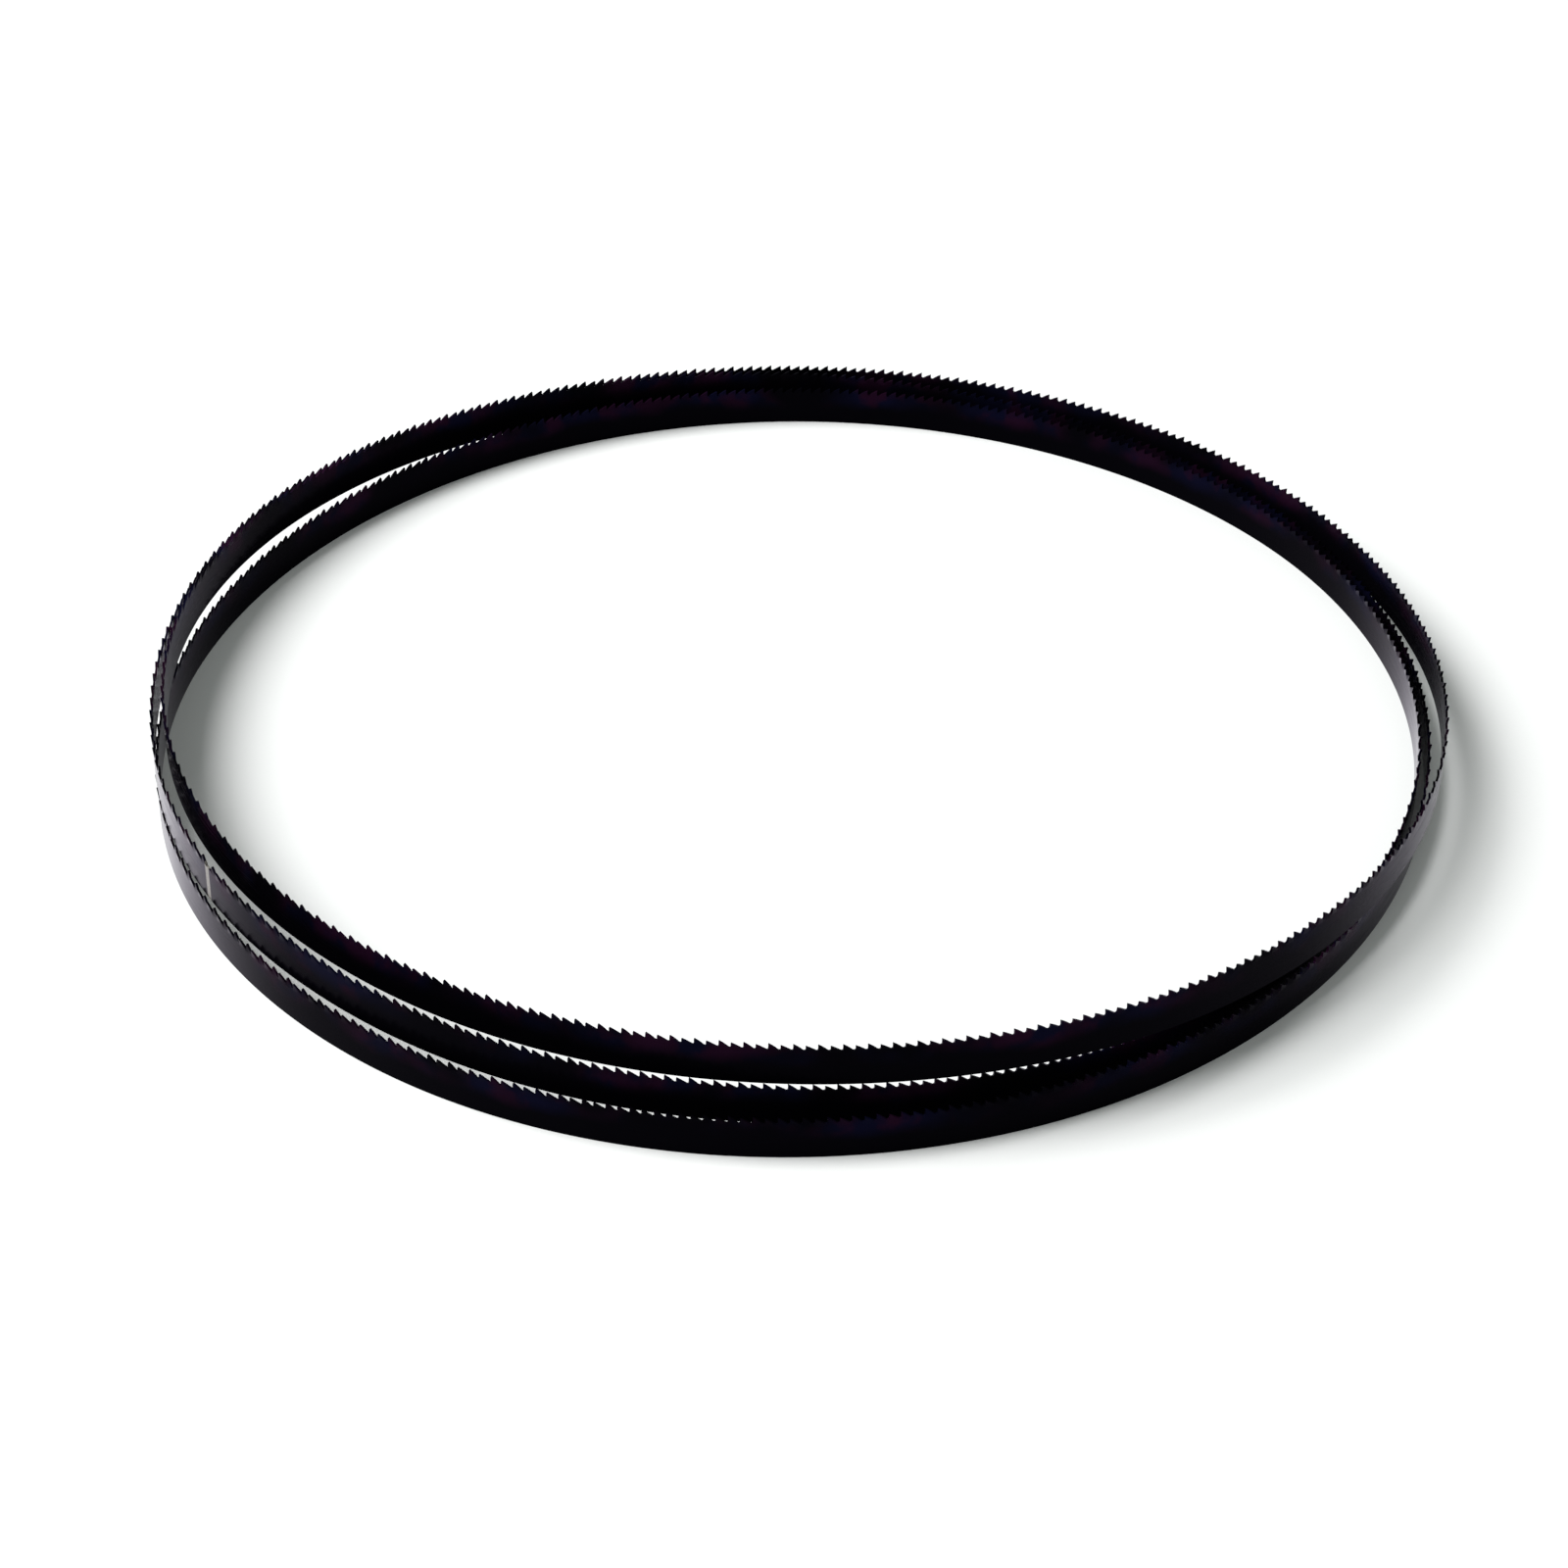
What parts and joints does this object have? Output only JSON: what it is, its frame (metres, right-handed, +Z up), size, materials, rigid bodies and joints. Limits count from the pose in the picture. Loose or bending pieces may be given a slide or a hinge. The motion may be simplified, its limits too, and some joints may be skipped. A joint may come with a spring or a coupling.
{
  "type": "band saw blade",
  "caption": "Endless toothed steel band for a band saw, folded into three loose overlapping coils with its toothed edge up, lying on a flat surface.",
  "frame": {"origin": "middle of the coils' bounding box, at the height of the floor the lowest coils stand on", "axes": "+Z up, square to the floor and along the band's width; +X to the right and +Y to the back of the coils as they lie in the picture"},
  "size_m": [0.3783, 0.3797, 0.0302],
  "materials": {
    "band_steel": "dark blued, glossy, smooth hardened steel with bare bright cutting edges"
  },
  "bodies": {
    "root": {"saw_band": "band_steel"}
  },
  "joints": []
}
